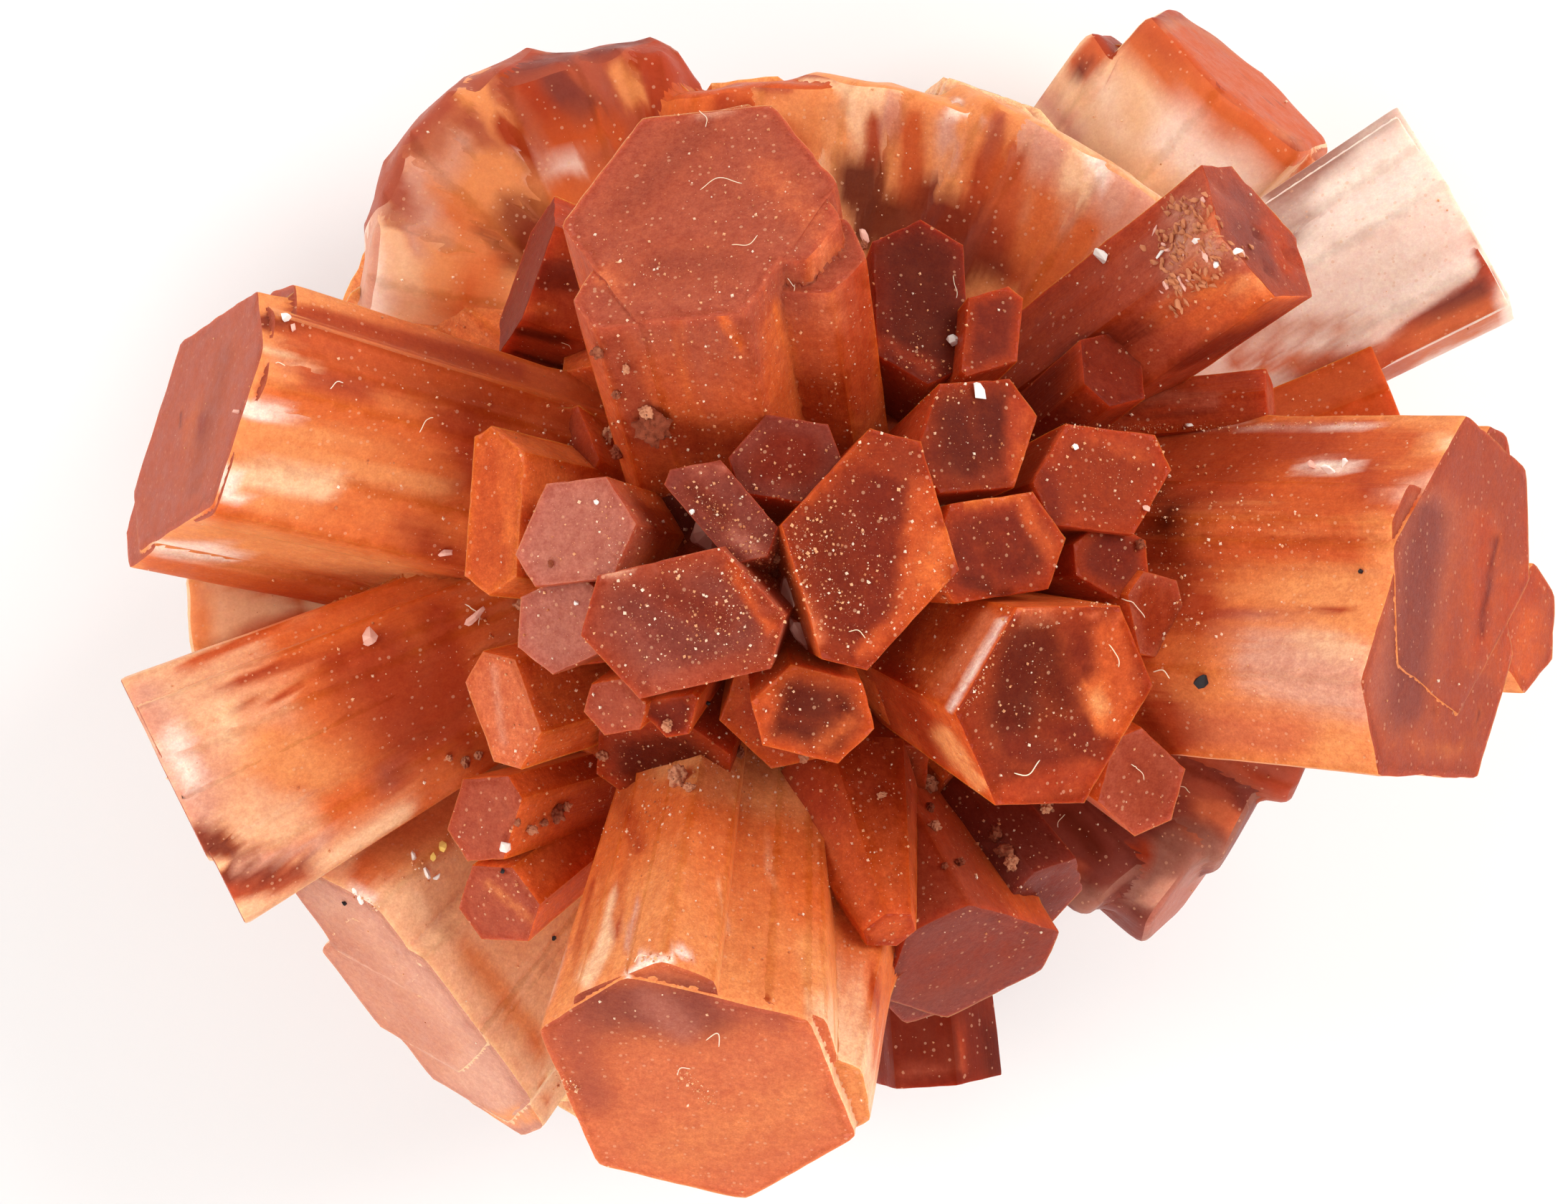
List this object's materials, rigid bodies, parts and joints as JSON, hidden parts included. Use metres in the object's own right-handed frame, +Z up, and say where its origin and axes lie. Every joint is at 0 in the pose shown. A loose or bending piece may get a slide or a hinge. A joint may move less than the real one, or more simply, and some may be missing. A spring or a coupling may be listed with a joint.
{
  "type": "aragonite sputnik cluster",
  "caption": "Spiky ball of orange-brown aragonite: flat-ended six-sided prisms radiating from one centre, standing on the end of the crystal that points down.",
  "frame": {"origin": "middle of the flat end of the crystal that the cluster stands on, straight below the centre of growth", "axes": "+Z up; +X along the cluster's longest extent, towards the large right-hand pillar; +Y towards the far pillars as seen from above"},
  "size_m": [0.0443, 0.0374, 0.0323],
  "materials": {
    "aragonite": "satin, translucent at the edges, with dust and crumbs of clay"
  },
  "bodies": {
    "root": {"crystal_cluster": "aragonite"}
  },
  "joints": []
}
